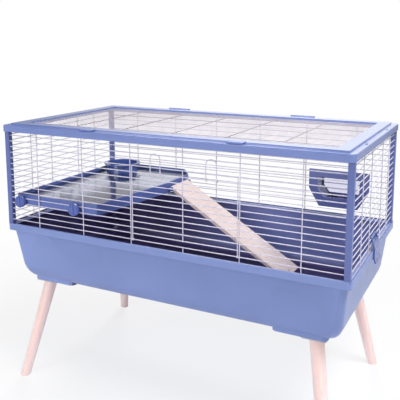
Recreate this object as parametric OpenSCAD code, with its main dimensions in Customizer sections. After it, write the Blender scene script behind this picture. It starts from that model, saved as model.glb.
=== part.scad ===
// Barred hamster cage on wooden legs.
// Origin: floor level, centre of the footprint. +X to the right, +Y to the back, +Z up.

/* [Overall size] */
// Length over the plastic top frame
cage_w = 800; // [660:1:960]
// Depth over the plastic top frame
cage_d = 434; // [390:1:520]
// Height of the legs, from the floor to the foot pads of the tray
leg_h = 232; // [190:1:280]
// Height of the tray, from its foot pads to the top of its rim
tray_h = 138; // [125:1:166]
// Height of the barred walls, from the tray rim to the top of the frame
wall_h = 230; // [190:1:276]

/* [Bars] */
// Diameter of the wall and lid bars
bar_d = 2; // [1.6:0.1:2.6]
// Spacing of the level bars
bar_pitch = 13.1; // [11:0.1:15.8]
// Spacing of the upright bars in the long walls and of the cross bars in the lid
upright_pitch = 122.4; // [104:0.1:146]
// Distance of the inner pair of uprights in a short wall from its middle
side_inner = 53.3; // [44:0.1:64]
// Distance of the outer pair of uprights in a short wall from its middle
side_outer = 126.8; // [106:0.1:150]
// Depth by which an upright is welded into the level bars
weld = 0.2; // [0.1:0.05:0.4]

/* [Tray] */
// Wall thickness of the moulded plastic
wall = 2.6; // [2:0.1:3.4]
// Height of the rim skirt
rim_h = 15.5; // [13:0.1:20]
// Setback of the rim from the top frame at the front and back
rim_setback = 4; // [3:0.1:5]
// Setback of the tray wall under its rim
tub_inset = 8; // [6:0.5:11]
// Slope of the tray walls, as run over the height down to the crease
wall_run = 11.5; // [9:0.1:14]
// Height from the tray bottom to the crease in its walls
crease_h = 32; // [26:0.5:39]
// Width of the curve between wall and bottom
floor_run = 26; // [22:1:34]
// Depth of the slanted panel pressed into the long walls
panel_depth = 4; // [3:0.1:5]
// Height of the foot pads under the tray
pad_h = 3; // [2:0.5:5]

/* [Legs] */
// Diameter of a leg at its top
leg_top_d = 30; // [25:0.5:34]
// Diameter of a leg at the floor
leg_foot_d = 21; // [17:0.5:25]
// Run of a leg along the cage for each unit of height
leg_splay_x = 0.18; // [0.12:0.01:0.24]
// Run of a leg across the cage for each unit of height
leg_splay_y = 0.26; // [0.2:0.01:0.3]
// Distance of a leg's upper end from the end of the cage
leg_inset_x = 76; // [72:1:90]
// Distance of a leg's upper end from the front or back of the cage
leg_inset_y = 64; // [60:1:76]

/* [Top frame and lid] */
// Height of the frame skirt
skirt_h = 14.5; // [12:0.1:18]
// Corner radius of the frame and the tray rim
corner_r = 12; // [10:0.5:14]
// Setback of the lid from the outside of the frame
lid_setback = 15; // [15:0.1:18]
// Width of the lid's plastic border
lid_border = 26; // [22:0.5:31]
// Height of the lid above the frame
lid_rise = 3.5; // [2.8:0.1:4.5]
// Distance of the lid latches and hinges from the middle
latch_x = 172; // [144:1:206]

/* [Posts] */
// Width of a corner post
post_w = 12; // [12:0.1:14]

/* [Shelf] */
// Height of the shelf top above the tray rim
shelf_z = 71; // [62:1:84]
// Length of the shelf along the cage
shelf_w = 258; // [240:1:300]
// Height of the shelf side walls
shelf_h = 25; // [22:0.5:30]
// Diameter of the screw knobs
knob_d = 27; // [23:0.5:30]
// Diameter of the food cup at its lip
cup_d = 98; // [88:1:102]
// Height of the food cup
cup_h = 51; // [43:1:60]

/* [Ramp] */
// Width of the plank
ramp_w = 88; // [74:1:104]
// Thickness of the plank
ramp_t = 8; // [7:0.1:9.6]
// Length of the plank beyond its pivot
ramp_l = 352; // [330:1:400]
// Place of the plank's centre line, from the middle of the cage
ramp_y = 92; // [60:1:110]

/* [Hanging house] */
// Width of the house
house_w = 141; // [118:1:150]
// Depth of the house
house_d = 56; // [46:1:68]
// Height of the house
house_h = 88; // [76:1:105]
// Distance of its right side from the end of the cage
house_inset = 47; // [40:1:56]

/* [Hidden] */
$fn = 48;

eps = 0.01;       // overlap that keeps joined solids from only touching
run_fit = 0.06;   // radial clearance of a pin or bar that turns in a hole
gap = 0.4;        // clearance between pieces that move past each other
bar_r = bar_d / 2;

// Levels
rim_z = leg_h + tray_h;
top_z = rim_z + wall_h;
tray_floor_z = leg_h + pad_h;
crease_z = tray_floor_z + crease_h;

// Tray rim: a lip around a flange that the bars and posts stand on
rim_w = cage_w;
rim_d = cage_d - 2 * rim_setback;
lip_t = 2.2;
lip_h = 4.6;              // height of the lip above the flange
flange_w = lip_t + post_w + 1.8;
flange_t = 2.4;
tub_r = 12;               // corner radius of the tub at its top
crease_angle = 25;        // slope of the tray wall just below its crease
panel_low_in = 195;       // ends of the slanted panel at the crease, from the corners
panel_high_in = 93;       // and under the rim

// Bars: level bars and uprights, as distances in from the outside of the tray rim
upright_in = lip_t + 2.2;
level_in = upright_in + bar_d - weld;
post_in = lip_t + 0.6;
post_r = 1.6;             // rounding of a post's edges
first_bar_z = rim_z - lip_h + bar_r + 0.4;
bar_count = floor((wall_h - 3.4) / bar_pitch) + 1;
level_y = rim_d / 2 - level_in;
level_x = rim_w / 2 - level_in;
upright_y = rim_d / 2 - upright_in;
upright_x = rim_w / 2 - upright_in;
post_x = rim_w / 2 - post_in - post_w / 2;
post_y = rim_d / 2 - post_in - post_w / 2;
span_x = post_x - post_w / 2;
span_y = post_y - post_w / 2;
upright_pairs = floor((span_x - upright_pitch / 2) / upright_pitch) + 1;
function level_z(k) = first_bar_z + k * bar_pitch;

// Place of a piece of width w on a long wall: x, or beside the upright that would be in its way
function beside_upright(x, w) =
    let (u = (floor(abs(x) / upright_pitch) + 0.5) * upright_pitch,
         off = abs(x) - u, room = w / 2 + bar_r + 2 * gap)
    abs(off) >= room ? x : sign(x) * (u + (off < 0 ? -room : room));

// Top frame
skirt_t = 2.4;
ledge_w = 11;                  // width of the ledge that the lid lies on
ledge_z = top_z - 3.3;
ledge_t = 2.6;
post_top_z = ledge_z - ledge_t;
slot_y = cage_d / 2 - 115;     // snap slots in the short sides
slot_l = 16;

// Lid, and its hinges at the back
lid_top_z = top_z + lid_rise;
lid_bar_r = 0.6;                     // the lid's long bars are thinner than the walls' bars
lid_in = lid_setback + lid_border;
hinge_u = lid_setback - 6;
hinge_z = top_z + 3.2;
hinge_pin_r = 1.2;
hinge_knuckle_r = 2.9;
hinge_knuckle_l = 44;
hinge_ear_l = 8;
latch_w = 33;
latch_u = lid_setback + 5.5;
latch_z = top_z + 1.2;
latch_barrel_r = 2.2;
latch_pin_r = 1.1;
latch_pin_l = 3.6;
latch_side = 2.2;                    // room beside a latch in its pocket

// Doorway: two bays of the front wall
door_x0 = -upright_pitch / 2;
door_x1 = 1.5 * upright_pitch;
door_mid = (door_x0 + door_x1) / 2;
door_side = 4;                       // the door's own side bars, in from the wall's uprights
door_low = 2;                        // level bar number of the door's lowest bar
door_high = bar_count - 5;           // level bar number of the door's highest bar
door_hinge_z = level_z(door_low - 1);
catch_x = 62.4;                      // catches, from the middle of the door
catch_w = 23;
catch_low = door_high - 1;           // the door bar that the catches turn on
catch_d = 2;
catch_h = 43;

// Side clips: they hang on a level bar of the short walls
clip_w = 50;
clip_bar = 2;
clip_tab = 11;                       // length of the finger tab below the rim
clip_z = level_z(clip_bar);
clip_eye_r = 3.2;
clip_eye_w = 7;
clip_t = 2.4;

// Legs
leg_plate = 52;
leg_plate_t = 3;
leg_x = cage_w / 2 - leg_inset_x;
leg_y = cage_d / 2 - leg_inset_y;
leg_len = leg_h - leg_plate_t;
leg_bolt_r = 4;
leg_bolt_depth = 36;
screw_off = 19;
screw_r = 1.8;
screw_bite = pad_h + wall - 1;       // depth of the screws in the foot pads
pad_w = 112;
pad_d = 100;
pad_x = leg_x - 28;                  // pads reach inwards from the legs
pad_y = leg_y - 22;

// Shelf
shelf_top_z = rim_z + shelf_z;
shelf_x0 = -cage_w / 2 + 26;
shelf_x1 = shelf_x0 + shelf_w;
shelf_y0 = -level_y + bar_r + 1.2;
shelf_y1 = level_y - bar_r - 3;
shelf_wall = 2.6;
shelf_end = ramp_w / 2 + 14;         // half length of the straight end at the ramp
shelf_slant = 34;                    // how far the front and back right corners are drawn in
shelf_pane_z = shelf_top_z - 10.4;
shelf_pane_t = 2.4;
shelf_ledge = 9;
stud_bar = floor((shelf_top_z - 15 - first_bar_z) / bar_pitch);
stud_z = level_z(stud_bar) + bar_pitch / 2;
stud_r = 2.5;
knob_t = 8;
shelf_hook_w = 10;
knob_x = [for (x = [17, 168]) beside_upright(shelf_x0 + x, shelf_hook_w)];
knob_y = -upright_y - bar_r - 0.5;   // inner face of the knobs
cup_x = shelf_x0 + cup_d / 2 + 6;
cup_y = shelf_y1 - cup_d / 2 - 6;
cup_z = shelf_top_z + 14 - cup_h;
cup_t = 2;

// Ramp
ramp_pin_r = 1.5;
ramp_x = shelf_x1 + 8;
ramp_z = shelf_top_z - 16;
ramp_foot_z = tray_floor_z + wall + gap;
ramp_drop = ramp_z - ramp_foot_z;
ramp_reach = sqrt(ramp_l * ramp_l + ramp_t * ramp_t / 4);
ramp_angle = asin(ramp_drop / ramp_reach) - atan(ramp_t / 2 / ramp_l);
ear_t = 4;

// Hanging house
house_x = cage_w / 2 - house_inset - house_w / 2;
house_bar = floor((wall_h - 110) / bar_pitch);
house_y = level_y - bar_r - 7 - house_d / 2;
house_top_z = level_z(house_bar) + 5.3;
house_t = 2.4;
press = 0.1;                         // how far the house's pane is pressed into its walls
house_hook_x = 35;
house_hook_w = 8;
house_flange = 16.5;                 // overhang of the front plate beside the box
house_door_w = house_w - 44;
house_door_h = 46;
house_lintel = 19;

// Flat rounded rectangle with true arcs at its corners
module round_rect(w, d, r) {
    square([w - 2 * r, d], center = true);
    square([w, d - 2 * r], center = true);
    for (sx = [-1, 1], sy = [-1, 1])
        translate([sx * (w / 2 - r), sy * (d / 2 - r)]) circle(r);
}

// Closed band between two insets of a w by d outline
module band(w, d, inset_a, inset_b, z0, z1) {
    translate([0, 0, z0]) linear_extrude(z1 - z0) difference() {
        round_rect(w - 2 * inset_a, d - 2 * inset_a, max(corner_r - inset_a, 2));
        round_rect(w - 2 * inset_b, d - 2 * inset_b, max(corner_r - inset_b, 2));
    }
}

// Straight bars
module bar_x(x0, x1, y, z, r = bar_r) {
    translate([x0, y, z]) rotate([0, 90, 0]) cylinder(r = r, h = x1 - x0, $fn = 24);
}
module bar_y(x, y0, y1, z, r = bar_r) {
    translate([x, y0, z]) rotate([-90, 0, 0]) cylinder(r = r, h = y1 - y0, $fn = 24);
}
module bar_z(x, y, z0, z1, r = bar_r) {
    translate([x, y, z0]) cylinder(r = r, h = z1 - z0, $fn = 24);
}

// Thin plate of the tub's outline, at one inset and level
module tub_level(inset, z, r) {
    x = rim_w / 2 - inset - r;
    y = rim_d / 2 - inset - r;
    for (sx = [-1, 1], sy = [-1, 1])
        translate([sx * x, sy * y, z]) cylinder(r = r, h = eps, $fn = 32);
}

// Solid tub: sloping wall, crease, then a curve into the bottom. thick draws it in evenly
module tub(thick, rise) {
    crease_in = tub_inset + wall_run + thick;
    hull() {
        tub_level(tub_inset + thick, rim_z - lip_h - flange_t + rise, tub_r - thick);
        for (a = [crease_angle : (90 - crease_angle) / 5 : 90])
            tub_level(crease_in + floor_run * (cos(crease_angle) - cos(a)) / cos(crease_angle),
                      crease_z - (crease_h - thick) * (sin(a) - sin(crease_angle))
                      / (1 - sin(crease_angle)), tub_r + 6 - thick);
    }
}

// Wedge that presses the slanted panel into a long wall, from the crease up to the rim
module panel_wedge() {
    y_low = -rim_d / 2 + tub_inset + wall_run;
    y_high = -rim_d / 2 + tub_inset;
    high_z = rim_z - lip_h - flange_t - 1;
    low_w = cage_w - 2 * panel_low_in;
    high_w = cage_w - 2 * panel_high_in;
    reach = 20;                          // anything that clears the wall outwards
    taper = 10;
    hull() {
        translate([-low_w / 2, y_low - reach, crease_z]) cube([low_w, reach, eps]);
        translate([-high_w / 2, y_high - reach, high_z]) cube([high_w, reach, eps]);
        translate([-high_w / 2 + taper, y_high - reach, high_z])
            cube([high_w - 2 * taper, reach + panel_depth, eps]);
    }
}

module tub_with_panels(thick, rise) {
    difference() {
        tub(thick, rise);
        translate([0, thick, 0]) panel_wedge();
        mirror([0, 1, 0]) translate([0, thick, 0]) panel_wedge();
    }
}

module tray() {
    color([0.49, 0.56, 0.78]) difference() {
        union() {
            difference() {
                union() {
                    tub_with_panels(0, 0);
                    for (sx = [-1, 1], sy = [-1, 1])
                        translate([sx * pad_x, sy * pad_y, leg_h])
                            linear_extrude(pad_h + crease_h / 2) round_rect(pad_w, pad_d, 12);
                }
                tub_with_panels(wall, 1);
            }
            band(rim_w, rim_d, 0, lip_t, rim_z - rim_h, rim_z);
            band(rim_w, rim_d, 0, flange_w, rim_z - lip_h - flange_t, rim_z - lip_h);
        }
        at_legs() at_screws() translate([0, 0, leg_h - eps]) cylinder(r = screw_r, h = screw_bite);
        for (sx = [-1, 1], sy = [-1, 1])
            translate([sx * post_x, sy * post_y, rim_z - lip_h]) linear_extrude(2 * lip_h)
                round_rect(post_w + gap, post_w + gap, post_r);
    }
}

// Places for what repeats at each leg and at each screw of a leg plate
module at_legs() {
    for (sx = [-1, 1], sy = [-1, 1]) translate([sx * leg_x, sy * leg_y, 0]) children();
}
module at_screws() {
    for (sx = [-1, 1], sy = [-1, 1])
        translate([sx * screw_off, sy * screw_off, 0]) children();
}

// Rod along the line of a splayed leg: from lead above the leg's upper end, downwards
module leg_rod(sx, sy, lead, length, r_top, r_foot) {
    tilt = atan(norm([leg_splay_x, leg_splay_y]));
    translate([sx * leg_x, sy * leg_y, leg_len])
        rotate([0, 0, atan2(sy * leg_splay_y, sx * leg_splay_x)])
        rotate([0, 180 - tilt, 0]) translate([0, 0, -lead])
        cylinder(r1 = r_top, r2 = r_foot, h = length + lead);
}

module leg(sx, sy) {
    color([0.90, 0.80, 0.68]) difference() {
        intersection() {
            leg_rod(sx, sy, 12, leg_len * 1.15, leg_top_d / 2, leg_foot_d / 2);
            translate([-cage_w, -cage_d, 0]) cube([2 * cage_w, 2 * cage_d, leg_len]);
        }
        leg_rod(sx, sy, 12, leg_bolt_depth, leg_bolt_r, leg_bolt_r);
    }
}
module leg_front_left() leg(-1, -1);
module leg_front_right() leg(1, -1);
module leg_back_left() leg(-1, 1);
module leg_back_right() leg(1, 1);

module leg_plates() {
    color([0.62, 0.63, 0.65]) difference() {
        at_legs() translate([0, 0, leg_len])
            linear_extrude(leg_plate_t) round_rect(leg_plate, leg_plate, 6);
        at_legs() at_screws() translate([0, 0, leg_len - eps])
            cylinder(r = screw_r + 0.3, h = leg_plate_t + 2 * eps);
        for (sx = [-1, 1], sy = [-1, 1])
            leg_rod(sx, sy, 12, 6, leg_bolt_r + 0.1, leg_bolt_r + 0.1);
    }
}

module leg_bolts() {
    color([0.66, 0.67, 0.69]) intersection() {
        for (sx = [-1, 1], sy = [-1, 1])
            leg_rod(sx, sy, 12, leg_bolt_depth - 1, leg_bolt_r, leg_bolt_r);
        translate([-cage_w, -cage_d, 0]) cube([2 * cage_w, 2 * cage_d, leg_h - 0.4]);
    }
}

module leg_screws() {
    color([0.70, 0.70, 0.72]) at_legs() at_screws() {
        translate([0, 0, leg_len - 2]) cylinder(r = 2 * screw_r, h = 2);
        translate([0, 0, leg_len - 1]) cylinder(r = screw_r, h = leg_plate_t + screw_bite);
    }
}

module post(sx, sy) {
    color([0.44, 0.50, 0.74])
        translate([sx * post_x, sy * post_y, rim_z - lip_h])
        linear_extrude(post_top_z - rim_z + lip_h) round_rect(post_w, post_w, post_r);
}
module post_front_left() post(-1, -1);
module post_front_right() post(1, -1);
module post_back_left() post(-1, 1);
module post_back_right() post(1, 1);

// Ears of the lid's hinges stand on the frame's back edge
module hinge_ears() {
    ear_x = hinge_knuckle_l / 2 + gap;
    for (sx = [-1, 1], side = [-1, 1])
        translate([sx * latch_x + side * (ear_x + hinge_ear_l / 2),
                   cage_d / 2 - hinge_u, hinge_z])
            rotate([0, 90, 0]) difference() {
                union() {
                    translate([0, 0, -hinge_ear_l / 2])
                        cylinder(r = hinge_knuckle_r, h = hinge_ear_l);
                    translate([0, -hinge_knuckle_r, -hinge_ear_l / 2])
                        cube([hinge_z - top_z + eps, 2 * hinge_knuckle_r, hinge_ear_l]);
                }
                translate([0, 0, -hinge_ear_l]) cylinder(r = hinge_pin_r, h = 2 * hinge_ear_l);
            }
}

module top_frame() {
    lid_gap_u = lid_setback - gap;
    color([0.54, 0.60, 0.84]) difference() {
        union() {
            band(cage_w, cage_d, 0, skirt_t, top_z - skirt_h, top_z - 1.2);
            band(cage_w, cage_d, 0.5, lid_gap_u, top_z - ledge_t, top_z - 0.5);
            band(cage_w, cage_d, 1.2, lid_gap_u, top_z - ledge_t, top_z);
            band(cage_w, cage_d, lid_gap_u - 2.4, lid_gap_u, post_top_z, top_z);
            band(cage_w, cage_d, lid_gap_u - 2.4, lid_gap_u + ledge_w, post_top_z, ledge_z);
            hinge_ears();
        }
        for (sx = [-1, 1], sy = [-1, 1])
            translate([sx * (cage_w / 2 - 7), sy * slot_y, top_z - ledge_t])
                cube([3.4, slot_l, 3 * ledge_t], center = true);
    }
}

// Level bars numbered k0 to k1 of a long wall, and one upright of a long or a short wall
module long_levels(x0, x1, y, k0, k1) {
    for (k = [k0 : k1]) bar_x(x0, x1, y, level_z(k));
}
module upright(x, y, k0, k1) {
    bar_z(x, y, k0 == 0 ? rim_z - lip_h + gap : level_z(k0) - bar_r,
          k1 == bar_count - 1 ? post_top_z : level_z(k1) + bar_r);
}
function long_uprights() =
    [for (i = [0 : 2 * upright_pairs - 1]) (i - upright_pairs + 0.5) * upright_pitch];

module front_bars_left() {
    color([0.80, 0.80, 0.84]) {
        long_levels(-span_x, door_x0, -level_y, 0, bar_count - 1);
        for (x = long_uprights()) if (x < door_x0 + 1) upright(x, -upright_y, 0, bar_count - 1);
    }
}

module front_bars_right() {
    color([0.80, 0.80, 0.84]) {
        long_levels(door_x1, span_x, -level_y, 0, bar_count - 1);
        for (x = long_uprights()) if (x > door_x1 - 1) upright(x, -upright_y, 0, bar_count - 1);
    }
}

module front_bars_top() {
    color([0.80, 0.80, 0.84]) {
        long_levels(door_x0, door_x1, -level_y, door_high + 1, bar_count - 1);
        upright(door_mid, -upright_y, door_high + 1, bar_count - 1);
    }
}

module front_bars_bottom() {
    color([0.80, 0.80, 0.84]) {
        long_levels(door_x0, door_x1, -level_y, 0, door_low - 1);
        upright(door_mid, -upright_y, 0, door_low - 1);
    }
}

module back_bars() {
    color([0.80, 0.80, 0.84]) {
        long_levels(-span_x, span_x, level_y, 0, bar_count - 1);
        for (x = long_uprights()) upright(x, upright_y, 0, bar_count - 1);
    }
}

module side_bars(sx) {
    color([0.80, 0.80, 0.84]) {
        for (k = [0 : bar_count - 1]) bar_y(sx * level_x, -span_y, span_y, level_z(k));
        for (y = [-side_outer, -side_inner, side_inner, side_outer])
            upright(sx * upright_x, y, 0, bar_count - 1);
    }
}
module left_bars() side_bars(-1);
module right_bars() side_bars(1);

module lid_frame() {
    pocket_w = latch_w + 2 * latch_side;
    pocket_u = latch_u + latch_barrel_r + gap;
    block_w = pocket_w + 10;
    border_h = lid_top_z - ledge_z;
    color([0.58, 0.62, 0.83]) difference() {
        union() {
            difference() {
                band(cage_w, cage_d, lid_setback, lid_in, ledge_z, lid_top_z);
                band(cage_w, cage_d, lid_setback + skirt_t, lid_in - skirt_t,
                     ledge_z - eps, lid_top_z - wall);
            }
            for (sx = [-1, 1]) translate([sx * latch_x - block_w / 2,
                                          -cage_d / 2 + lid_setback + 1, ledge_z])
                cube([block_w, pocket_u - lid_setback + 2, border_h]);
            for (sx = [-1, 1]) hinge_knuckle(sx * latch_x);
        }
        for (sx = [-1, 1]) {
            translate([sx * latch_x - pocket_w / 2, -cage_d / 2 + lid_setback - 1, ledge_z - 1])
                cube([pocket_w, pocket_u - lid_setback + 1, border_h + 2]);
            bar_x(sx * latch_x - latch_w / 2 - latch_pin_l - 2 * gap,
                  sx * latch_x + latch_w / 2 + latch_pin_l + 2 * gap,
                  -cage_d / 2 + latch_u, latch_z, latch_pin_r + run_fit);
            bar_x(sx * latch_x - hinge_knuckle_l, sx * latch_x + hinge_knuckle_l,
                  cage_d / 2 - hinge_u, hinge_z, hinge_pin_r + run_fit);
        }
    }
}

// Barrel on the lid's back edge that turns on the hinge pin
module hinge_knuckle(x) {
    bar_x(x - hinge_knuckle_l / 2, x + hinge_knuckle_l / 2, cage_d / 2 - hinge_u, hinge_z,
          hinge_knuckle_r);
    translate([x - hinge_knuckle_l / 2, cage_d / 2 - lid_setback - 1, top_z + gap])
        cube([hinge_knuckle_l, lid_setback - hinge_u + 1, lid_rise - gap]);
}

module lid_bars() {
    across_n = floor((cage_w / 2 - lid_in) / upright_pitch);
    along_n = floor((cage_d - 2 * lid_in) / bar_pitch);
    along_z = top_z - 0.5;
    color([0.74, 0.73, 0.78]) {
        for (i = [0 : along_n - 1])
            bar_x(-cage_w / 2 + lid_in, cage_w / 2 - lid_in,
                  (i - (along_n - 1) / 2) * bar_pitch, along_z, lid_bar_r);
        for (i = [-across_n : across_n])
            bar_y(i * upright_pitch, -cage_d / 2 + lid_in, cage_d / 2 - lid_in,
                  along_z - lid_bar_r - bar_r + weld);
    }
}

module lid_hinge_pins() {
    reach = hinge_knuckle_l / 2 + gap + hinge_ear_l;
    color([0.75, 0.75, 0.77]) for (sx = [-1, 1])
        bar_x(sx * latch_x - reach, sx * latch_x + reach, cage_d / 2 - hinge_u, hinge_z,
              hinge_pin_r);
}

// Finger latch: turns in the lid's front edge, its nose lies over the frame
module lid_latch(x) {
    nose_u = 5;
    nose_t = 2.9;
    y = -cage_d / 2 + latch_u;
    pin_reach = latch_w / 2 + gap + latch_pin_l;
    color([0.50, 0.57, 0.82]) difference() {
        union() {
            bar_x(x - latch_w / 2, x + latch_w / 2, y, latch_z, latch_barrel_r);
            bar_x(x - pin_reach, x + pin_reach, y, latch_z, latch_pin_r);
            translate([x - latch_w / 2, -cage_d / 2 + nose_u, lid_top_z - nose_t])
                cube([latch_w, latch_u - nose_u, nose_t]);
        }
        for (i = [-1 : 1])
            bar_x(x - latch_w, x + latch_w, -cage_d / 2 + nose_u + 4 + 2.4 * i,
                  lid_top_z + 0.4, 0.9);
    }
}
module lid_latch_left() lid_latch(-latch_x);
module lid_latch_right() lid_latch(latch_x);

// Closed eye of wire that turns on a level bar
module wire_eye(x, y, z, width, r_out) {
    difference() {
        bar_x(x - width / 2, x + width / 2, y, z, r_out);
        bar_x(x - width, x + width, y, z, bar_r + run_fit);
    }
}

module front_door() {
    side_x0 = door_x0 + door_side;
    side_x1 = door_x1 - door_side;
    color([0.82, 0.82, 0.86]) {
        long_levels(side_x0 - bar_r, side_x1 + bar_r, -level_y, door_low, door_high);
        upright(door_mid, -upright_y, door_low, door_high);
        for (x = [side_x0, side_x1]) {
            bar_z(x, -upright_y, door_hinge_z + bar_r + 0.6, level_z(door_high) + bar_r);
            wire_eye(x, -level_y, door_hinge_z, 4, 2.5 * bar_r);
        }
    }
}

// Wire catch: an upright loop that turns on a bar of the door and leans on the bars above it
module door_catch(x) {
    r = catch_d / 2;
    y = -level_y - bar_r - gap - r;
    z = level_z(catch_low);
    bend_z = z + catch_h - catch_w / 2 - r;
    color([0.84, 0.84, 0.88]) {
        for (side = [-1, 1]) {
            bar_z(x + side * catch_w / 2, y, z, bend_z, r);
            wire_eye(x + side * catch_w / 2, -level_y, z, 3, bar_r + gap + r);
        }
        translate([x, y, bend_z]) rotate([90, 0, 0])
            rotate_extrude(angle = 180) translate([catch_w / 2, 0]) circle(r, $fn = 24);
    }
}
module door_catch_left() door_catch(door_mid - catch_x);
module door_catch_right() door_catch(door_mid + catch_x);

// Outline of a side clip, as distance out from the bars and height from the bar it turns on
module clip_outline() {
    face = level_in + 0.5;
    grip = -(clip_z - rim_z) - rim_h - 0.8;
    near = bar_r + 0.6;
    shoulder = -(clip_z - rim_z) + 2;
    polygon([
        [near, -1], [near, shoulder + 18], [face, shoulder], [face, grip],
        [face - 4, grip], [face - 4, grip - clip_t], [face + 0.2, grip - clip_t],
        [face + 3, grip - clip_tab], [face + 3 + clip_t, grip - clip_tab + 0.6],
        [face + clip_t, grip - 0.6], [face + clip_t, shoulder + 0.6],
        [near + clip_t, shoulder + 18.4], [near + clip_t, -1]]);
}

module side_clip_right() {
    color([0.42, 0.46, 0.76]) difference() {
        union() {
            translate([level_x, clip_w / 2, clip_z]) rotate([90, 0, 0])
                linear_extrude(clip_w) clip_outline();
            bar_y(level_x, -clip_w / 2, clip_w / 2, clip_z, clip_eye_r);
        }
        bar_y(level_x, -clip_w, clip_w, clip_z, bar_r + run_fit);
        translate([level_x - clip_w / 2, -clip_w / 2 + clip_eye_w, clip_z - clip_eye_r - 4])
            cube([clip_w, clip_w - 2 * clip_eye_w, 3 * clip_eye_r]);
    }
}
module side_clip_left() mirror([1, 0, 0]) side_clip_right();

// Flat outline of the shelf, drawn in evenly by t
module shelf_outline(t) {
    r = 6;
    d = r + t;
    corner_x = shelf_x1 - shelf_slant - d;
    hull() for (p = [
            [shelf_x0 + d, shelf_y0 + d], [corner_x, shelf_y0 + d],
            [shelf_x1 - d, ramp_y - shelf_end], [shelf_x1 - d, ramp_y + shelf_end],
            [corner_x, shelf_y1 - d], [shelf_x0 + d, shelf_y1 - d]])
        translate(p) circle(r, $fn = 32);
}

// Hook over a level bar of the back wall, from a piece whose back face is at y0
module bar_hook(x, y0, bar_z, width) {
    over = bar_z + bar_r + 0.1;
    out = level_y + bar_r + gap;
    t = 2;
    translate([x - width / 2, y0, over]) cube([width, out + t - y0, t]);
    translate([x - width / 2, out, bar_z - 4]) cube([width, t, over + t - bar_z + 4]);
}

module shelf_frame() {
    low_z = shelf_top_z - shelf_h;
    rib_h = 11;
    ear_y = ramp_w / 2 + gap;
    color([0.45, 0.52, 0.78]) difference() {
        union() {
            translate([0, 0, low_z]) linear_extrude(shelf_h) difference() {
                shelf_outline(0);
                shelf_outline(shelf_wall);
            }
            translate([0, 0, shelf_pane_z - 2]) linear_extrude(2) difference() {
                shelf_outline(shelf_wall / 2);
                shelf_outline(shelf_ledge);
            }
            translate([knob_x[0], shelf_y0 - 0.9, stud_z - rib_h / 2])
                cube([knob_x[1] - knob_x[0], 2, rib_h]);
            for (x = knob_x) bar_hook(x, shelf_y1 - 1, level_z(stud_bar + 1), shelf_hook_w);
            for (side = [-1, 1])
                translate([shelf_x1 - 1, ramp_y + side * (ear_y + ear_t / 2) - ear_t / 2,
                           ramp_z - 5])
                    cube([ramp_x - shelf_x1 + 6, ear_t, 10]);
        }
        for (x = knob_x) bar_y(x, shelf_y0 - 5, shelf_y0 + 10, stud_z, stud_r);
        bar_y(ramp_x, ramp_y - ramp_w, ramp_y + ramp_w, ramp_z, ramp_pin_r);
    }
}

module shelf_floor() {
    color([0.85, 0.88, 0.92, 0.5]) translate([0, 0, shelf_pane_z])
        linear_extrude(shelf_pane_t) difference() {
            shelf_outline(shelf_wall + gap);
            translate([cup_x, cup_y]) circle(cup_d / 2 - 9);
        }
}

module shelf_studs() {
    head_y = shelf_y0 + shelf_wall;
    color([0.75, 0.75, 0.77]) for (x = knob_x) {
        bar_y(x, head_y, head_y + 2.4, stud_z, 1.8 * stud_r);
        bar_y(x, knob_y - knob_t + 2, head_y + 1, stud_z, stud_r);
    }
}

// Round screw knob with a finger bar across its face
module shelf_knob(x) {
    color([0.38, 0.46, 0.72]) translate([x, knob_y, stud_z]) rotate([90, 0, 0]) difference() {
        union() {
            cylinder(d = knob_d, h = knob_t - 2.4);
            cylinder(d = knob_d - 5, h = knob_t - 1.6);
            translate([-2, -knob_d / 2 + 2, 0]) cube([4, knob_d - 4, knob_t]);
        }
        translate([0, 0, -eps]) cylinder(r = stud_r + run_fit, h = knob_t - 1.6);
    }
}
module shelf_knob_left() shelf_knob(knob_x[0]);
module shelf_knob_right() shelf_knob(knob_x[1]);

// Food cup: drops through the shelf floor and hangs by its shoulder
module food_cup() {
    lip_r = cup_d / 2;
    upper_r = lip_r - 6;
    lower_r = lip_r - 9.4;
    foot_r = lip_r - 13;
    shoulder = shelf_pane_z + shelf_pane_t - cup_z;
    color([0.16, 0.20, 0.42]) translate([cup_x, cup_y, cup_z]) rotate_extrude($fn = 64)
        polygon([
            [0, 0], [foot_r, 0], [lower_r, 6], [lower_r, shoulder], [upper_r, shoulder],
            [upper_r, cup_h - 3], [lip_r, cup_h - 3], [lip_r, cup_h],
            [upper_r - cup_t, cup_h], [upper_r - cup_t, shoulder + cup_t],
            [lower_r - cup_t, shoulder + cup_t - 1], [lower_r - cup_t, 7],
            [foot_r - cup_t, cup_t], [0, cup_t]]);
}

module ramp() {
    tread = 15;
    heel = 5;
    treads = floor((ramp_l - 40) / tread);
    color([0.90, 0.80, 0.70]) translate([ramp_x, ramp_y, ramp_z])
        rotate([0, ramp_angle, 0]) difference() {
            translate([-heel, -ramp_w / 2, -ramp_t / 2]) cube([heel + ramp_l, ramp_w, ramp_t]);
            for (i = [1 : treads])
                translate([12 + i * tread, -ramp_w, ramp_t / 2 - 1])
                    cube([1.6, 2 * ramp_w, 2]);
            translate([ramp_l - 12, 0, -ramp_t]) cylinder(r = 3, h = 2 * ramp_t);
            bar_y(0, -ramp_w, ramp_w, 0, ramp_pin_r + run_fit);
        }
}

module ramp_pin() {
    reach = ramp_w / 2 + gap + ear_t;
    color([0.75, 0.75, 0.77])
        bar_y(ramp_x, ramp_y - reach, ramp_y + reach, ramp_z, ramp_pin_r);
}

// Outline of the house's front plate, or of the box behind it, drawn in by t below and aside
module house_outline(t, top) {
    half = house_w / 2 - t;
    low = -house_h + t / 2;
    foot = half - 25;
    knee = -house_h * 0.52;
    polygon([[-half, -top], [half, -top], [half, knee], [foot, low], [-foot, low],
             [-half, knee]]);
}

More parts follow.
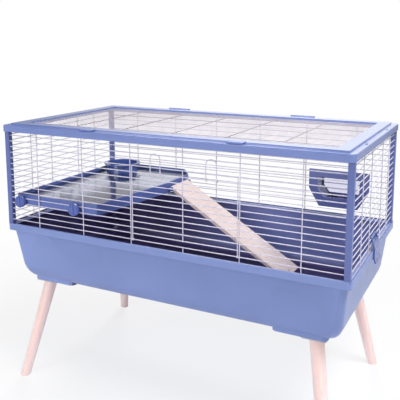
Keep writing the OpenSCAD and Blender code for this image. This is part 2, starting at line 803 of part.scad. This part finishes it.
// Box of the house: its roof falls towards the back
module house_box(t) {
    roof = 9;
    slope = 5;
    intersection() {
        translate([0, house_d / 2 - t, 0]) rotate([90, 0, 0])
            linear_extrude(house_d - 2 * t) house_outline(house_flange + t, roof + t);
        translate([0, -house_d / 2, -roof - t]) rotate([-slope, 0, 0])
            translate([-house_w, -house_d, -2 * house_h])
            cube([2 * house_w, 3 * house_d, 2 * house_h]);
    }
}

// Opening in the house's front or back: it stays inside the slanted sides of the box
module house_opening(depth) {
    translate([0, depth / 2, 0]) rotate([90, 0, 0]) linear_extrude(depth) intersection() {
        translate([-house_door_w / 2, -house_door_h - house_lintel])
            square([house_door_w, house_door_h]);
        house_outline(house_flange + house_t + 1.5, 0);
    }
}

module hanging_house() {
    plate_t = 3;
    color([0.20, 0.24, 0.46]) {
        translate([house_x, house_y, house_top_z]) difference() {
            union() {
                translate([0, plate_t - house_d / 2, 0]) rotate([90, 0, 0])
                    linear_extrude(plate_t) house_outline(0, 0);
                house_box(0);
            }
            house_box(house_t);
            translate([0, -house_d / 2, 0]) house_opening(4 * plate_t);
            translate([0, house_d / 2, 0]) house_opening(4 * plate_t);
        }
        for (side = [-1, 1])
            bar_hook(beside_upright(house_x + side * house_hook_x, house_hook_w),
                     house_y + house_d / 2 - 1, level_z(house_bar - 1), house_hook_w);
    }
}

// Clear pane that closes the back of the house
module house_window() {
    pane_t = 1.6;
    lap = 2.2;
    color([0.80, 0.82, 0.90, 0.5]) translate([house_x, house_y, house_top_z]) intersection() {
        translate([-house_door_w / 2 - lap, house_d / 2 - house_t - pane_t,
                   -house_lintel - house_door_h - lap])
            cube([house_door_w + 2 * lap, 2 * pane_t, house_door_h + lap]);
        house_box(house_t - press);
    }
}

tray();
leg_front_left();
leg_front_right();
leg_back_left();
leg_back_right();
leg_plates();
leg_bolts();
leg_screws();
post_front_left();
post_front_right();
post_back_left();
post_back_right();
top_frame();
front_bars_left();
front_bars_right();
front_bars_top();
front_bars_bottom();
back_bars();
left_bars();
right_bars();
lid_frame();
lid_bars();
lid_hinge_pins();
lid_latch_left();
lid_latch_right();
front_door();
door_catch_left();
door_catch_right();
side_clip_left();
side_clip_right();
shelf_frame();
shelf_floor();
shelf_studs();
shelf_knob_left();
shelf_knob_right();
food_cup();
ramp();
ramp_pin();
hanging_house();
house_window();
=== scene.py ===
import math

import bpy
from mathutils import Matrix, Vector


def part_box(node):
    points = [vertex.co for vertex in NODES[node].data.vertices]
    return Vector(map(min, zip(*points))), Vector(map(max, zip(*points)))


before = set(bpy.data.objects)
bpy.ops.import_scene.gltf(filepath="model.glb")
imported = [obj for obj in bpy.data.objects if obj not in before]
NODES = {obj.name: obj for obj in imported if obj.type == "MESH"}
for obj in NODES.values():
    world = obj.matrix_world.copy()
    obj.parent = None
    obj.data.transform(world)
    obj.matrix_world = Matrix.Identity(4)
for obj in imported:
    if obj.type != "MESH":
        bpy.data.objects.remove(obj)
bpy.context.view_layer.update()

MM = 0.001


# ---------------------------------------------------------------- colours

def srgb(r, g, b):
    """Linear colour from 0-255 display values."""
    def lin(v):
        v /= 255
        return v / 12.92 if v <= 0.04045 else ((v + 0.055) / 1.055) ** 2.4
    return (lin(r), lin(g), lin(b), 1.0)


def shade(color, f):
    """The colour made darker (f below 1) or paler."""
    return (min(color[0] * f, 1), min(color[1] * f, 1), min(color[2] * f, 1), 1.0)


TRAY_BLUE = srgb(123, 141, 196)
TRAY_PAINTED_SHADE_RIGHT = srgb(232, 224, 240)    # painted shade, tints that multiply the tray's blue: right end of its inside
TRAY_PAINTED_SHADE_LEFT = srgb(158, 126, 148)     # painted shade, left end of its inside
TRAY_PAINTED_SHADE_FLOOR = srgb(132, 98, 124)      # painted shade on its floor
FRAME_BLUE = srgb(118, 135, 192)
LATCH_BLUE = srgb(112, 130, 196)
DEEP_BLUE = srgb(76, 96, 166)
SHELF_BLUE = srgb(92, 110, 176)
POST_PAINTED_SHADE_BLUE = srgb(98, 111, 170)
# painted shade: the frame's blue made darker for the posts
HOUSE_BLUE = srgb(104, 114, 176)
CUP_BLUE = srgb(78, 98, 166)
WIRE = srgb(214, 210, 228)
LID_WIRE = srgb(214, 205, 216)
# painted shade of the lid's cross bars, which lie below the long ones
LID_CROSS_PAINTED_SHADE = srgb(26, 22, 42)
BEECH = srgb(255, 238, 236)
BEECH_DARK = srgb(246, 206, 196)
RAMP_WOOD = srgb(244, 230, 228)
RAMP_DARK = srgb(222, 198, 192)
STEEL = srgb(196, 198, 202)
PANE_TINT = srgb(203, 208, 225)
WINDOW_TINT = srgb(226, 226, 246)
WHITE = (1, 1, 1, 1)
PAPER = (0.86, 0.86, 0.87, 1)
AIR = (0.97, 0.97, 1.0, 1)


# ---------------------------------------------------------------- node helpers

def empty_tree(block):
    """The node tree of a material or a world, with nothing in it."""
    block.use_nodes = True
    block.node_tree.nodes.clear()
    return block.node_tree


def add_node(tree, kind, **props):
    node = tree.nodes.new(kind)
    for key, value in props.items():
        setattr(node, key, value)
    return node


def map_range(tree, source, lo, hi, a=0.0, b=1.0):
    """Maps lo..hi of an output socket to a..b."""
    node = add_node(tree, "ShaderNodeMapRange")
    for key, value in (("From Min", lo), ("From Max", hi), ("To Min", a), ("To Max", b)):
        node.inputs[key].default_value = value
    tree.links.new(source, node.inputs["Value"])
    return node


def mix_shader(tree, factor, a, b):
    node = add_node(tree, "ShaderNodeMixShader")
    for slot, socket in enumerate((factor, a.outputs[0], b.outputs[0])):
        tree.links.new(socket, node.inputs[slot])
    return node


def seen_by_camera(tree, path):
    """1 for what the camera sees, also through clear plastic."""
    seen = add_node(tree, "ShaderNodeMath", operation="MAXIMUM")
    tree.links.new(path.outputs["Is Camera Ray"], seen.inputs[0])
    tree.links.new(path.outputs["Is Transmission Ray"], seen.inputs[1])
    return seen.outputs[0]


class Shader:
    """A small builder for one node material."""

    def __init__(self, name):
        self.mat = bpy.data.materials.new(name)
        self.tree = empty_tree(self.mat)
        out = self.add("ShaderNodeOutputMaterial")
        self.bsdf = self.add("ShaderNodeBsdfPrincipled")
        self.link(self.bsdf, "BSDF", out, "Surface")
        self.coord = self.add("ShaderNodeTexCoord")

    def add(self, kind, **props):
        return add_node(self.tree, kind, **props)

    def link(self, a, out, b, into):
        self.tree.links.new(a.outputs[out], b.inputs[into])

    def set(self, **values):
        for key, value in values.items():
            self.bsdf.inputs[key.replace("_", " ")].default_value = value

    def place(self, node, source):
        """Gives a node its place from a mapping, or from the piece's own coordinates."""
        if source is None:
            self.link(self.coord, "Object", node, "Vector")
        else:
            self.link(source, "Vector", node, "Vector")

    def mapping(self, scale=(1, 1, 1), rotation=(0, 0, 0), source=None):
        m = self.add("ShaderNodeMapping")
        m.inputs["Scale"].default_value = scale
        m.inputs["Rotation"].default_value = rotation
        self.place(m, source)
        return m

    def noise(self, scale, detail=3.0, rough=0.5, distortion=0.0, source=None):
        n = self.add("ShaderNodeTexNoise")
        for key, value in (("Scale", scale), ("Detail", detail), ("Roughness", rough),
                           ("Distortion", distortion)):
            n.inputs[key].default_value = value
        self.place(n, source)
        return n

    def axes(self, out):
        """The X, Y and Z of the piece's coordinates or of its normals."""
        split = self.add("ShaderNodeSeparateXYZ")
        self.link(self.coord, out, split, 0)
        return split

    def remap(self, node, out, lo, hi, a=0.0, b=1.0):
        return map_range(self.tree, node.outputs[out], lo, hi, a, b)

    def mix(self, factor, a, b, blend_type="MIX"):
        """Mixes a and b, each a colour or an output socket, by a node's first output."""
        m = self.add("ShaderNodeMix", data_type="RGBA", blend_type=blend_type)
        self.tree.links.new(factor.outputs[0], m.inputs[0])
        for slot, v in ((6, a), (7, b)):
            if isinstance(v, bpy.types.NodeSocket):
                self.tree.links.new(v, m.inputs[slot])
            else:
                m.inputs[slot].default_value = v
        return m.outputs[2]

    def color(self, socket):
        self.tree.links.new(socket, self.bsdf.inputs["Base Color"])

    def base_color(self):
        return self.bsdf.inputs["Base Color"].links[0].from_socket

    def roughness(self, noise, lo, hi, low, high):
        """Roughness from low to high as the noise goes from lo to hi."""
        self.link(self.remap(noise, "Fac", lo, hi, low, high), "Result", self.bsdf, "Roughness")

    def bump(self, sources):
        """Chains bumps from (node, output, strength, distance)."""
        last = None
        for node, out, strength, distance in sources:
            b = self.add("ShaderNodeBump")
            b.inputs["Strength"].default_value = strength
            b.inputs["Distance"].default_value = distance
            self.link(node, out, b, "Height")
            if last is not None:
                self.link(last, "Normal", b, "Normal")
            last = b
        self.link(last, "Normal", self.bsdf, "Normal")


# ---------------------------------------------------------------- kinds of material

def plastic(name, color, rough=0.36, grain=0.10, wear=0.35, coat=0.0, cloud=0.05, wave=0.03):
    """Moulded plastic: faint flow clouds, leather-fine grain, paler rubbed edges, fine scratches."""
    s = Shader(name)
    clouds = s.noise(7.0, 4.0, 0.55)
    tone = s.mix(s.remap(clouds, "Fac", 0.3, 0.7), shade(color, 1 - cloud), shade(color, 1 + cloud))
    scratch_map = s.mapping((26, 420, 60), (0.35, 0.2, 0.5))
    scratches = s.noise(3.0, 2.0, 0.5, 0.3, scratch_map)
    scuff = s.remap(scratches, "Fac", 0.66, 0.74)
    tone = s.mix(s.remap(scuff, "Result", 0, 1, 0, 0.10), tone, shade(color, 1.5))
    edge = s.remap(s.add("ShaderNodeNewGeometry"), "Pointiness", 0.52, 0.60, 0, wear)
    s.color(s.mix(edge, tone, shade(color, 1.45)))
    s.roughness(s.noise(22.0, 5.0, 0.6), 0.25, 0.75, rough - wave, rough + 2 * wave)
    fine = s.noise(1500.0, 2.0, 0.6)
    s.bump([(fine, "Fac", grain, 0.0004), (clouds, "Fac", wave, 0.003),
            (scuff, "Result", 0.03, 0.0003)])
    s.set(Specular_IOR_Level=0.5, Coat_Weight=coat, Coat_Roughness=0.15)
    return s


def tray_plastic(name, middle, left, right):
    """Moulded plastic with painted shade. Its inner faces, which look towards the middle, are darker:
    most on the floor, and on the walls more at left than at right."""
    s = plastic(name, TRAY_BLUE, 0.34, 0.09)
    offset = s.add("ShaderNodeVectorMath", operation="SUBTRACT")
    offset.inputs[1].default_value = middle
    s.link(s.coord, "Object", offset, 0)
    facing = s.add("ShaderNodeVectorMath", operation="DOT_PRODUCT")
    s.link(s.coord, "Normal", facing, 0)
    s.link(offset, "Vector", facing, 1)
    # painted shade: inner faces darkest on the floor, and on the walls darker towards the left
    inner = s.remap(facing, "Value", 0.0, -0.03)
    level = s.remap(s.axes("Normal"), "Z", 0.35, 0.95)
    along = s.remap(s.axes("Object"), "X", left, right)
    along.interpolation_type = "SMOOTHSTEP"
    walls = s.mix(along, TRAY_PAINTED_SHADE_LEFT, TRAY_PAINTED_SHADE_RIGHT)
    painted_shade = s.mix(level, walls, TRAY_PAINTED_SHADE_FLOOR)
    s.color(s.mix(inner, s.base_color(), painted_shade, "MULTIPLY"))
    return s


def coated_wire(name, color, worn=0.30):
    """Powder-coated wire: slight orange peel, thin worn spots showing grey."""
    s = Shader(name)
    spots = s.remap(s.noise(70.0, 4.0, 0.7), "Fac", 0.66, 0.72, 0, worn)
    drift = s.remap(s.noise(16.0, 2.0), "Fac", 0.3, 0.7)
    tone = s.mix(drift, shade(color, 0.93), shade(color, 1.05))
    s.color(s.mix(spots, tone, shade(color, 0.70)))
    s.roughness(s.noise(240.0, 3.0), 0.3, 0.7, 0.22, 0.40)
    s.bump([(s.noise(700.0, 2.0), "Fac", 0.12, 0.0003)])
    s.set(Metallic=0.05, Coat_Weight=0.3, Coat_Roughness=0.12)
    return s


def lid_wire_with_painted_shade(name, level):
    """Coated wire of the lid with painted shade: the cross bars, below the level, are darker than the
    long ones.
    """
    s = coated_wire(name, LID_WIRE, 0.2)
    cross_shade_mask = s.add("ShaderNodeMath", operation="LESS_THAN")
    cross_shade_mask.inputs[1].default_value = level
    s.link(s.axes("Object"), "Z", cross_shade_mask, 0)
    s.color(s.mix(cross_shade_mask, s.base_color(), LID_CROSS_PAINTED_SHADE))
    return s


def steel(name, color):
    """Zinc-plated steel with a drawn grain."""
    s = Shader(name)
    grain = s.noise(6.0, 4.0, 0.6, 0.0, s.mapping((60, 60, 900)))
    s.color(s.mix(s.remap(grain, "Fac", 0.3, 0.7), shade(color, 0.82), shade(color, 1.08)))
    s.roughness(grain, 0.3, 0.7, 0.24, 0.42)
    s.bump([(grain, "Fac", 0.15, 0.0002)])
    s.set(Metallic=1.0)
    return s


def wood(name, light, dark, direction, rough, streak=1.0):
    """Wood: long fibres and short rays along direction, faint growth bands, open pores."""
    turn = Vector(direction).normalized().rotation_difference(Vector((0, 0, 1))).to_euler()
    s = Shader(name)
    turned = s.mapping(rotation=turn)
    fibre = s.noise(1.6, 6.0, 0.62, 0.4, s.mapping((70, 70, 3.2), source=turned))
    fleck = s.noise(1.0, 2.0, 0.5, 0.0, s.mapping((900, 900, 70), source=turned))
    bands = s.add("ShaderNodeTexWave", wave_type="BANDS", bands_direction="X")
    for key, value in (("Scale", 16.0), ("Distortion", 5.0), ("Detail", 3.0), ("Detail Scale", 1.2)):
        bands.inputs[key].default_value = value
    s.place(bands, s.mapping((1, 1, 0.12), source=turned))
    tone = s.mix(s.remap(fibre, "Fac", 0.3, 0.7, 0, 0.75 * streak), light, dark)
    tone = s.mix(s.remap(bands, "Fac", 0.55, 1.0, 0, 0.35 * streak), tone, dark)
    pores = s.remap(fleck, "Fac", 0.64, 0.72, 0, 0.45 * streak)
    s.color(s.mix(pores, tone, shade(dark, 0.72)))
    s.roughness(fibre, 0.3, 0.7, rough - 0.08, rough + 0.10)
    s.bump([(fibre, "Fac", 0.12, 0.0006), (fleck, "Fac", 0.10, 0.0003)])
    s.set(Specular_IOR_Level=0.35)
    return s


def clear(name, color, rough, haze_rough=0.12):
    """Clear moulded plastic: it mirrors at a low angle; faint haze and hairline scratches."""
    s = Shader(name)
    haze = s.noise(30.0, 5.0, 0.65)
    s.color(s.mix(s.remap(haze, "Fac", 0.35, 0.7), shade(color, 0.96), shade(color, 1.03)))
    lines = s.noise(2.0, 2.0, 0.5, 0.4, s.mapping((300, 24, 24), (0, 0, 0.7)))
    s.roughness(lines, 0.5, 0.75, rough, haze_rough)
    s.bump([(lines, "Fac", 0.04, 0.0002)])
    s.set(IOR=1.52, Transmission_Weight=1.0)
    return s


# ---------------------------------------------------------------- materials on the CAD nodes

WELD_REACH = 0.02 * MM
SHARP_ANGLE = math.radians(35)    # edges sharper than this are rounded


def dress(node, shader, bevel=None):
    """Gives a piece its material; welds, rounds and smooths it, so that its edges catch light."""
    obj = NODES[node]
    obj.data.materials.clear()
    obj.data.materials.append(shader.mat)
    obj.modifiers.new("weld", "WELD").merge_threshold = WELD_REACH
    if bevel:
        b = obj.modifiers.new("round", "BEVEL")
        b.width = bevel
        b.segments = 2
        b.limit_method = "ANGLE"
        b.angle_limit = SHARP_ANGLE
        b.miter_outer = "MITER_ARC"
    for p in obj.data.polygons:
        p.use_smooth = True
    normals = obj.modifiers.new("by angle", "WEIGHTED_NORMAL")
    normals.keep_sharp = True
    normals.weight = 60


TRAY_MIDDLE_DROP = 10 * MM    # from the tray's top down to the point that its inner faces look at, for their painted shade
TRAY_LEFT, TRAY_RIGHT = -0.25, 0.20    # x where the painted shade of its inner walls starts and ends
LID_CROSS_DROP = 1.3 * MM     # the cross bars lie this far below the top of the lid's bars; lower down the lid's wire gets painted shade
LEG_SPLAY = (0.18, 0.26)      # how far a leg leans out, along x and y, for each unit down

tray_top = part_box("tray")[1].z
tray_mat = tray_plastic("tray_plastic", (0, 0, tray_top - TRAY_MIDDLE_DROP), TRAY_LEFT, TRAY_RIGHT)
frame_mat = plastic("frame_plastic", FRAME_BLUE, 0.24, 0.04, coat=0.5, wave=0.012)
# the posts' plastic: the frame's blue with painted shade
post_mat = plastic("post_plastic_painted_shade", POST_PAINTED_SHADE_BLUE, 0.34, 0.07)
lid_latch_mat = plastic("lid_latch_plastic", LATCH_BLUE, 0.16, 0.02, coat=1.0, wave=0.01)
latch_mat = plastic("latch_plastic", DEEP_BLUE, 0.26, 0.04, coat=0.3)
shelf_mat = plastic("shelf_plastic", SHELF_BLUE, 0.34, 0.06)
house_mat = plastic("house_plastic", HOUSE_BLUE, 0.22, 0.03, wear=0.2, coat=0.5)
cup_mat = plastic("cup_plastic", CUP_BLUE, 0.14, 0.02, wear=0.2, coat=0.8)
wire_mat = coated_wire("coated_wire", WIRE)
lid_wire_mat = lid_wire_with_painted_shade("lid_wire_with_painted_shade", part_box("lid_bars")[1].z - LID_CROSS_DROP)
steel_mat = steel("bright_steel", STEEL)
pane_mat = clear("clear_plastic", PANE_TINT, 0.05, 0.18)
window_mat = clear("clear_window", WINDOW_TINT, 0.08)

POSTS = ("post_front_left", "post_front_right", "post_back_left", "post_back_right")
WIRES = ("front_bars_left", "front_bars_right", "front_bars_top", "front_bars_bottom", "back_bars",
         "left_bars", "right_bars", "front_door", "door_catch_left", "door_catch_right")
HANDLES = ("side_clip_left", "side_clip_right", "shelf_knob_left", "shelf_knob_right")
FASTENERS = ("leg_plates", "leg_bolts", "leg_screws", "lid_hinge_pins", "ramp_pin")

# material, width of its rounded edges, pieces
for shader, bevel, pieces in (
        (tray_mat, 0.8 * MM, ("tray",)),
        (frame_mat, 0.7 * MM, ("top_frame", "lid_frame")),
        (post_mat, 0.8 * MM, POSTS),
        (wire_mat, None, WIRES),
        (lid_wire_mat, None, ("lid_bars",)),
        (latch_mat, 0.4 * MM, HANDLES),
        (lid_latch_mat, 0.4 * MM, ("lid_latch_left", "lid_latch_right")),
        (shelf_mat, 0.6 * MM, ("shelf_frame",)),
        (shelf_mat, None, ("shelf_studs",)),
        (pane_mat, 0.3 * MM, ("shelf_floor",)),
        (cup_mat, 0.6 * MM, ("food_cup",)),
        (house_mat, 0.6 * MM, ("hanging_house",)),
        (window_mat, 0.2 * MM, ("house_window",)),
        (steel_mat, None, FASTENERS)):
    for piece in pieces:
        dress(piece, shader, bevel)

for sx, side in ((-1, "left"), (1, "right")):
    for sy, end in ((-1, "front"), (1, "back")):
        leg = "leg_%s_%s" % (end, side)
        splay = (LEG_SPLAY[0] * sx, LEG_SPLAY[1] * sy, -1)
        dress(leg, wood("beech_" + leg, BEECH, BEECH_DARK, splay, 0.42), 0.8 * MM)

ramp_low, ramp_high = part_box("ramp")
ramp_dir = (ramp_high.x - ramp_low.x, 0, ramp_low.z - ramp_high.z)
dress("ramp", wood("ramp_wood", RAMP_WOOD, RAMP_DARK, ramp_dir, 0.6, 0.8), 0.6 * MM)


# ---------------------------------------------------------------- stage, light and camera

FLOOR_HALF = 15.0
GLOW_NEAR, GLOW_FAR = 0.4, 1.6       # the floor's own white grows between these distances
GLOW_LEAST, GLOW_MOST = 0.72, 1.0    # from this share to this one
AMBIENT = 0.24                       # soft light from all round
BACKDROP_WAY = (-0.10, 1.0, 0.12)    # direction of the white backdrop that glossy faces mirror
BACKDROP_EDGE = (0.80, 0.97)         # cosines to that direction where the backdrop starts and is full
MIRROR_DARK = 0.30                   # what glossy faces mirror elsewhere
MIRROR_BRIGHT = 1.25

CAMERA_PLACE = (0.6304, -1.2645, 0.8007)    # fitted to the photo, as the numbers below
CAMERA_DOWN, CAMERA_TURN = 9.18, 26.69      # degrees
CAMERA_LENS, CAMERA_SENSOR = 56.24, 36.0
CAMERA_SHIFT = -0.16


def add_object(name, data):
    obj = bpy.data.objects.new(name, data)
    bpy.context.scene.collection.objects.link(obj)
    return obj


def floor_material():
    """Paper that takes the cage's shadow and fades to plain white further out."""
    mat = bpy.data.materials.new("floor_paper")
    t = empty_tree(mat)
    paper = add_node(t, "ShaderNodeBsdfDiffuse")
    paper.inputs["Color"].default_value = PAPER
    glow = add_node(t, "ShaderNodeEmission")
    glow.inputs["Color"].default_value = WHITE
    coord = add_node(t, "ShaderNodeTexCoord")
    away = add_node(t, "ShaderNodeVectorMath", operation="LENGTH")
    t.links.new(coord.outputs["Object"], away.inputs[0])
    fade = map_range(t, away.outputs["Value"], GLOW_NEAR, GLOW_FAR, GLOW_LEAST, GLOW_MOST)
    share = add_node(t, "ShaderNodeMath", operation="MULTIPLY")
    t.links.new(seen_by_camera(t, add_node(t, "ShaderNodeLightPath")), share.inputs[0])
    t.links.new(fade.outputs["Result"], share.inputs[1])
    out = add_node(t, "ShaderNodeOutputMaterial")
    t.links.new(mix_shader(t, share.outputs[0], paper, glow).outputs[0], out.inputs["Surface"])
    return mat


def studio_world():
    """White to the camera; dim, even light; a bright backdrop behind for glossy faces."""
    world = bpy.data.worlds.new("studio")
    t = empty_tree(world)

    def background(color, strength):
        b = add_node(t, "ShaderNodeBackground")
        b.inputs["Color"].default_value = color
        b.inputs["Strength"].default_value = strength
        return b

    coord = add_node(t, "ShaderNodeTexCoord")
    dot = add_node(t, "ShaderNodeVectorMath", operation="DOT_PRODUCT")
    dot.inputs[1].default_value = Vector(BACKDROP_WAY).normalized()
    t.links.new(coord.outputs["Generated"], dot.inputs[0])
    fade = map_range(t, dot.outputs["Value"], *BACKDROP_EDGE, MIRROR_DARK, MIRROR_BRIGHT)
    mirror = background(WHITE, 1.0)
    t.links.new(fade.outputs["Result"], mirror.inputs["Strength"])
    path = add_node(t, "ShaderNodeLightPath")
    mirrored = mix_shader(t, path.outputs["Is Glossy Ray"], background(AIR, AMBIENT), mirror)
    shown = mix_shader(t, seen_by_camera(t, path), mirrored, background(WHITE, 1.0))
    out = add_node(t, "ShaderNodeOutputWorld")
    t.links.new(shown.outputs[0], out.inputs["Surface"])
    return world


def lamp(name, place, aim, size, watts):
    data = bpy.data.lights.new(name, "AREA")
    data.shape = "RECTANGLE"
    data.size, data.size_y = size
    data.energy = watts
    obj = add_object(name, data)
    obj.location = place
    obj.rotation_euler = (Vector(aim) - Vector(place)).to_track_quat("-Z", "Y").to_euler()


floor_mesh = bpy.data.meshes.new("floor")
floor_mesh.from_pydata([(x * FLOOR_HALF, y * FLOOR_HALF, 0)
                        for x, y in ((-1, -1), (1, -1), (1, 1), (-1, 1))], [], [(0, 1, 2, 3)])
floor_mesh.materials.append(floor_material())
add_object("floor", floor_mesh)
bpy.context.scene.world = studio_world()

lamp("key", (-1.0, -2.5, 1.3), (0, 0, 0.4), (1.4, 1.0), 33)
lamp("top", (1.3, -0.5, 2.4), (0.2, 0.1, 0.4), (1.2, 1.0), 46)
lamp("right", (2.6, -0.4, 1.3), (0.3, 0, 0.4), (1.0, 1.2), 9)
lamp("back", (-0.9, 2.3, 2.3), (0, 0, 0.3), (1.4, 1.0), 44)

lens = bpy.data.cameras.new("camera")
lens.sensor_width = CAMERA_SENSOR
lens.lens = CAMERA_LENS
lens.shift_y = CAMERA_SHIFT
camera = add_object("camera", lens)
camera.location = CAMERA_PLACE
camera.rotation_euler = (math.radians(90 - CAMERA_DOWN), 0, math.radians(CAMERA_TURN))
bpy.context.scene.camera = camera
bpy.context.scene.view_settings.view_transform = "Standard"

bpy.context.view_layer.update()
